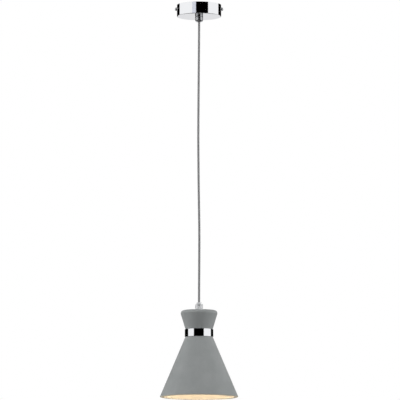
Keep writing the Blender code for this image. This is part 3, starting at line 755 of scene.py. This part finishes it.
def side_screws():
    """The two dome-headed screws in the canopy's sides, each with its washer."""
    for side, label in ((-1, "left"), (1, "right")):
        low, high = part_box("canopy_washer_" + label)
        face = low.x if side > 0 else high.x
        place = Matrix.Translation((face, 0.0, SIDE_SCREW_Z)) @ upright((side, 0, 0))
        thick, rim = 0.0007, 0.0043
        profile = [(rim, thick), (rim, 0.0), (SIDE_HOLE_RADIUS, 0.0), (SIDE_HOLE_RADIUS, thick)]
        washer = lathe("side_washer_" + label, profile, SMALL, edge=0.0002)
        washer.data.transform(place)
        dress(washer, label + "_washer", "zinc_steel", "canopy_washer_" + label)

        base, head, shank, dome, tip = 0.0010, 0.0039, 0.0019, 0.0027, -0.0093
        top = base + 0.0035
        crown = [(head * math.sin(t), top - dome * (1 - math.cos(t)))
                 for t in (math.radians(degrees) for degrees in range(0, 91, 10))]
        point = 0.0005
        profile = [*crown, (head, base), (shank, base)]
        profile += [(shank, tip + point), (shank - point, tip), (0.0, tip)]
        screw = lathe("side_screw_" + label, profile, SMALL, closed=False, edge=0.0002)
        carve(screw, box_cutter((0.0010, 0.0120, 0.0018), Vector((0.0, 0.0, top))))
        screw.data.transform(place)
        dress(screw, label + "_screw", "chrome", "canopy_screw_" + label)


def wiring():
    """The terminal block, and the cord's cores at both ends."""
    refined("terminal_block", "canopy", "white_plastic", 0.0)
    for label in ("live", "neutral"):
        refined("terminal_insert_" + label, "canopy", "brass", 0.0001)
        wire = "brown_wire" if label == "live" else "blue_wire"
        refined("core_" + label + "_upper", "canopy", wire, soft_steps=1, degrees=180)
        refined("core_" + label + "_lower", "shade", wire, soft_steps=1, degrees=180)
    for number in "1234":
        refined("terminal_screw_" + number, "canopy", "zinc_steel", 0.0001)


# ---- cord ---------------------------------------------------------------------------------------

CORD_WAYPOINTS = [  # sideways drift and height of the hanging cord, from the gland to the grip, as in the CAD
    (0.0000, SWING_Z - GAP),
    (0.0000, -0.0620),
    (-0.0007, -0.1500),
    (-0.0015, -0.2500),
    (-0.0017, -0.3150),
    (-0.0010, -0.4050),
    (0.0002, -0.4850),
    (0.0006, -0.5350),
    (0.0003, -0.6050),
    (0.0000, -0.6500),
    (0.0000, TILT_Z + GAP),
]


def smooth_route(waypoints, steps):
    """A smooth curve through the waypoints, with `steps` points to each span."""
    padded = [waypoints[0], *waypoints, waypoints[-1]]
    points = []
    for index in range(1, len(padded) - 2):
        before, here, there, after = (Vector(padded[index + k]) for k in (-1, 0, 1, 2))
        for step in range(steps):
            t = step / steps
            bend = (there - before) * t
            bend += (before * 2 - here * 5 + there * 4 - after) * t * t
            bend += (here * 3 - before - there * 3 + after) * t * t * t
            points.append(here + bend / 2)
    points.append(Vector(waypoints[-1]))
    return points


def cord():
    """The hanging cord, which turns in its two outlets on ball ends, and its two fixed ends behind them."""
    route = smooth_route([(x, 0.0, z) for x, z in CORD_WAYPOINTS], 12)
    route[0] = Vector((0.0, 0.0, SWING_Z))
    route[-1] = Vector((0.0, 0.0, TILT_Z))
    item = tube_along("hanging_cord", route, CORD_RADIUS, ball_ends=True)
    dress(item, "hanging_cord", "grey_cord", "cord")
    room = CORD_RADIUS + GAP
    for node, body in (("cord_tail_upper", "canopy"), ("cord_tail_lower", "shade")):
        _, top, bottom = span(node)
        top, bottom = (top, SWING_Z + room) if body == "canopy" else (TILT_Z - room, bottom)
        tail = tube_along(node + "_fine", [Vector((0, 0, top)), Vector((0, 0, bottom))], CORD_RADIUS)
        dress(tail, body, "grey_cord", node)


# ---- shade --------------------------------------------------------------------------------------


def cord_grip():
    radius, top, bottom = span("cord_grip")
    neck, bevel, bevel_height = 0.0052, 0.0006, 0.0008
    shoulder_z = TILT_Z - 0.0055
    tube_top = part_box("threaded_tube")[1].z
    profile = [(MOUTH_RADIUS, top), (neck - bevel, top), (neck, top - bevel_height)]
    profile += arc((neck, shoulder_z), radius - neck, 90, 0, 12)
    profile += [(radius, bottom), (M10_BORE, bottom), (M10_BORE, tube_top + GAP), (CORD_BORE, tube_top + GAP)]
    profile += [(CORD_BORE, TILT_Z - BUSH_ROOM - MOUTH_TAPER), (MOUTH_RADIUS, TILT_Z - BUSH_ROOM)]
    grip = lathe("clear_cord_grip", profile, MEDIUM, edge=0.0003)
    screw_hole(grip, "cord_grip_screw", 0.0017, -0.0077)
    dress(grip, "shade", "clear_plastic", "cord_grip")
    refined("cord_grip_screw", "shade", "zinc_steel", 0.0001)


def collar():
    """The concrete top piece: a flat top with a round edge, and a side that narrows to the chrome band."""
    _, top, bottom = span("upper_collar")
    foot_z = RING_TOP + GAP
    plate, edge_radius, hollow, bevel = 0.0080, 0.0065, 0.0330, 0.0040
    under = top - plate
    corner, foot = (0.0435, top), (0.0305, foot_z)
    profile = [(M10_BORE, top), *rounded(corner, (0.0, top), foot, edge_radius, 16), foot]
    profile += [(SPIGOT_RADIUS, foot_z), (SPIGOT_RADIUS, bottom), (WAIST_BORE, bottom), (WAIST_BORE, foot_z)]
    profile += [(hollow, under - bevel), (hollow - bevel, under), (M10_BORE, under)]
    dress(lathe("concrete_collar", profile, FINE, edge=0.0005), "shade", "concrete", "upper_collar")


def waist_band():
    radius, top, bottom = span("waist_ring")
    bore = SPIGOT_RADIUS + 0.0005
    profile = [(radius, top), (radius, bottom), (bore, bottom), (bore, top)]
    dress(lathe("waist_band", profile, FINE, edge=0.00012), "shade", "chrome", "waist_ring")


def cone():
    """The concrete cone. Its outside and rim are bare, and its inside has the light coat."""
    radius, top, bottom = span("lower_shade")
    cone_top = RING_BOTTOM - GAP
    ledge_height, throat_height, rim_radius = 0.0060, 0.0080, 0.0015
    ledge = cone_top - ledge_height
    rounding = 0.00078  # how far the sharp corner of the rim stands outside the rounded one
    neck, foot, mouth, ledge_bore = 0.0310, radius + rounding, 0.0787, 0.0208
    slope = (foot - neck) / (cone_top - bottom)
    throat_z = ledge - throat_height
    throat = mouth - slope * (throat_z - bottom)
    rim = rounded((foot, bottom), (neck, cone_top), (0.0, bottom), rim_radius, 8)
    profile = [(SPIGOT_RADIUS, top), (SPIGOT_RADIUS, cone_top), (neck, cone_top), *rim, (mouth, bottom)]
    profile += [(throat, throat_z), (throat, ledge), (ledge_bore, ledge), (ledge_bore, cone_top)]
    profile += [(WAIST_BORE, cone_top), (WAIST_BORE, top)]
    item = lathe("concrete_cone", profile, FINE, edge=0.0004)
    dress(item, "shade", "concrete", "lower_shade")
    item.data.materials.append(MATERIALS["inner_coat"])
    for polygon in item.data.polygons:
        centre, normal = polygon.center, polygon.normal
        inward = normal.x * centre.x + normal.y * centre.y < 0
        outside_ledge = math.hypot(centre.x, centre.y) > ledge_bore + 0.001
        if inward and outside_ledge and bottom + 0.0003 < centre.z < ledge:
            polygon.material_index = 1


def shade_hardware():
    """The M10 tube with the washer and nut that carry the collar."""
    radius, top, bottom = span("threaded_tube")
    pitch, depth, bore = 0.0010, 0.00025, 0.0032
    mean = radius - depth
    plain_end = 0.0003
    start, stop = top - plain_end, bottom + plain_end
    profile = [(mean, top), *rows(mean, start, stop, pitch, 6), (mean, bottom), (bore, bottom)]
    wall = thread(mean, depth, pitch, start, stop, -1)
    tube = lathe("threaded_tube_fine", [*profile, (bore, top)], THIN, edge=0.0, wall=wall)
    dress(tube, "shade", "zinc_steel", "threaded_tube")
    flat_ring("collar_washer", M10_BORE, "shade", "zinc_steel")
    refined("tube_nut", "shade", "zinc_steel", 0.0003)


# ---- lampholder and bulb ------------------------------------------------------------------------


def lampholder():
    radius, top, join = span("lampholder_cap")
    bore, spout, spout_height, shoulder, hollow = 0.0176, 0.0088, 0.0080, 0.0040, 0.0050
    ceiling = join - GAP + hollow
    spout_foot = top - spout_height
    profile = [(M10_BORE, top), (spout, top), (spout, spout_foot)]
    profile += rounded((radius, spout_foot), (0.0, spout_foot), (radius, join), shoulder)
    profile += [(radius, join), (bore, join), (bore, ceiling), (M10_BORE, ceiling)]
    cap = lathe("holder_cap", profile, edge=0.0005)
    screw_hole(cap, "lampholder_cap_screw", 0.0016, -0.0080)
    dress(cap, "shade", "black_plastic", "lampholder_cap")
    refined("lampholder_cap_screw", "shade", "zinc_steel", 0.0001)
    refined("lampholder_insert", "shade", "white_ceramic", 0.0003)
    refined("centre_contact", "shade", "brass", 0.0)
    for label in ("live", "neutral"):
        refined("lampholder_screw_" + label, "shade", "brass", 0.0001)

    _, top, bottom = span("lampholder_sleeve")
    outer, flange, seat, coarse = radius, 0.0229, RING_BOTTOM, 0.0025
    depth, plain_end, runout = 0.0004, 0.0015, 0.0003
    flange_top = seat + 0.0030
    mean = outer - depth
    start, stop = seat - plain_end, bottom + plain_end
    profile = [(outer, top), (outer, flange_top), (flange, flange_top), (flange, seat), (outer, seat)]
    profile += [(outer, start + runout), *rows(mean, start, stop, coarse, 8), (mean, bottom), (bore, bottom)]
    wall = thread(mean, depth, coarse, start, stop, -1)
    sleeve = lathe("holder_sleeve", [*profile, (bore, top)], edge=0.0002, wall=wall)
    dress(sleeve, "shade", "black_plastic", "lampholder_sleeve")

    radius, top, bottom = span("shade_ring")
    chamfer, ring_bore, rib_depth, rib_count = 0.0012, 0.0206, 0.0005, 24
    profile = [(radius, top), (radius, bottom + chamfer), (radius - chamfer, bottom)]
    profile += [(ring_bore, bottom), (ring_bore, top)]

    def ribs(reach, height, angle):
        if reach < radius - 0.0002 or not bottom + 0.0008 < height < top - 0.0004:
            return reach
        return reach - rib_depth * (0.5 + 0.5 * math.cos(rib_count * angle))

    ring = lathe("holder_ring", profile, FINE, edge=0.0003, wall=ribs)
    dress(ring, "shade", "black_plastic", "shade_ring")

    radius, top, bottom = span("thread_shell")
    plain_bore = SHELL_MEAN_RADIUS + THREAD_DEPTH
    plain_end, threaded, runout = 0.0030, 0.0188, 0.0008
    stop = bottom + plain_end
    start = stop + threaded
    profile = [(radius, top), (radius, bottom), (plain_bore, bottom)]
    profile += list(reversed(rows(SHELL_MEAN_RADIUS, start, stop, THREAD_PITCH)))
    lip, lip_bore = top - 0.0008, 0.0108
    profile += [(plain_bore, start + runout), (plain_bore, lip), (lip_bore, lip), (lip_bore, top)]
    wall = thread(SHELL_MEAN_RADIUS, THREAD_DEPTH, THREAD_PITCH, start, stop, 1)
    shell = lathe("holder_thread_shell", profile, THREADED, edge=0.0, wall=wall)
    dress(shell, "shade", "brass", "thread_shell")


def bulb():
    radius, top, bottom = span("bulb_tip")
    rise = 0.0014
    dome = []
    for degrees in range(0, 91, 10):
        t = math.radians(degrees)
        dome.append((radius * math.sin(t), top - rise * (1 - math.cos(t))))
    contact = lathe("bulb_contact", [*dome, (radius, bottom), (0.0, bottom)], SMALL, closed=False, edge=0.0)
    dress(contact, "bulb_travel", "bulb_metal", "bulb_tip")

    _, top, bottom = span("bulb_insulator")
    cap_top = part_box("bulb_cap")[1].z
    face, body_radius = 0.0050, 0.0092
    profile = [(0.0, top), (face, top), (body_radius, cap_top), (body_radius, bottom), (0.0, bottom)]
    insulator = lathe("bulb_base_insulator", profile, SMALL, closed=False)
    dress(insulator, "bulb", "black_plastic", "bulb_insulator")

    _, top, bottom = span("bulb_cap")
    root, bore, skirt, collar_bore = CAP_MEAN_RADIUS - THREAD_DEPTH, 0.0116, 0.0131, 0.0096
    start, stop = top - 0.0014, bottom + 0.0034
    profile = [(collar_bore, top), (root - 0.0004, top), (root, top - 0.0007)]
    profile += rows(CAP_MEAN_RADIUS, start, stop, THREAD_PITCH)
    profile += [(skirt, stop - 0.0006), (skirt, bottom), (bore, bottom), (bore, top - 0.0022)]
    profile += [(collar_bore, top - 0.0010)]
    wall = thread(CAP_MEAN_RADIUS, THREAD_DEPTH, THREAD_PITCH, start, stop, -1)
    dress(lathe("bulb_screw_cap", profile, THREADED, edge=0.0, wall=wall), "bulb", "bulb_metal", "bulb_cap")

    wide, top, bottom = span("bulb_housing")
    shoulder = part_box("bulb_cap")[0].z - GAP
    neck, neck_bore, skin, core = 0.0138, 0.0113, 0.0014, 0.0100
    waist, waist_z = 0.0150, shoulder - 0.0047
    flare = [(neck, shoulder)]
    for step in range(15):
        t = step / 14
        reach = waist + (wide - waist) * (0.72 * t + 0.28 * t * t)
        flare.append((reach, waist_z + (bottom - waist_z) * t))
    profile = [(neck_bore, top), (neck_bore, shoulder), *flare]
    profile += [(max(r - skin, core), z) for r, z in reversed(flare)] + [(core, top)]
    dress(lathe("bulb_body", profile, edge=0.0002), "bulb", "white_plastic", "bulb_housing")
    refined("driver_board", "bulb", "circuit_board", 0.0)
    refined("led_board", "bulb", "circuit_board", 0.0002)

    _, top, bottom = span("bulb_globe")
    sphere, mouth, skin = 0.0300, 0.0246, 0.0010
    outer = [(mouth, top), *arc((0.0, bottom + sphere), sphere, 26, -90, 36)]
    outer[-1] = (0.0, bottom)
    inner = [(mouth - skin, top), *arc((0.0, bottom + sphere), sphere - skin, 26, -90, 36)]
    inner[-1] = (0.0, bottom + skin)
    cover = lathe("bulb_cover", [*outer, *reversed(inner)], MEDIUM, closed=False, edge=0.0)
    dress(cover, "bulb", "opal_cover", "bulb_globe")


# ---- assembly -----------------------------------------------------------------------------------

camera()
world()
floor()
cards()
soft_light("light_left", (-2.4, -0.6, 0.3), 30.0, 1.4)
soft_light("light_right", (2.4, -0.6, -0.1), 25.0, 1.4)
soft_light("light_front", (0.3, -3.4, 0.2), 24.5, 2.0)
soft_light("light_below", (0.0, -0.15, -2.2), 16.0, 0.15, (1.0, 0.80, 0.56))
ceiling_fixing()
canopy()
gland()
bushes()
side_screws()
wiring()
cord()
cord_grip()
collar()
waist_band()
cone()
shade_hardware()
lampholder()
bulb()
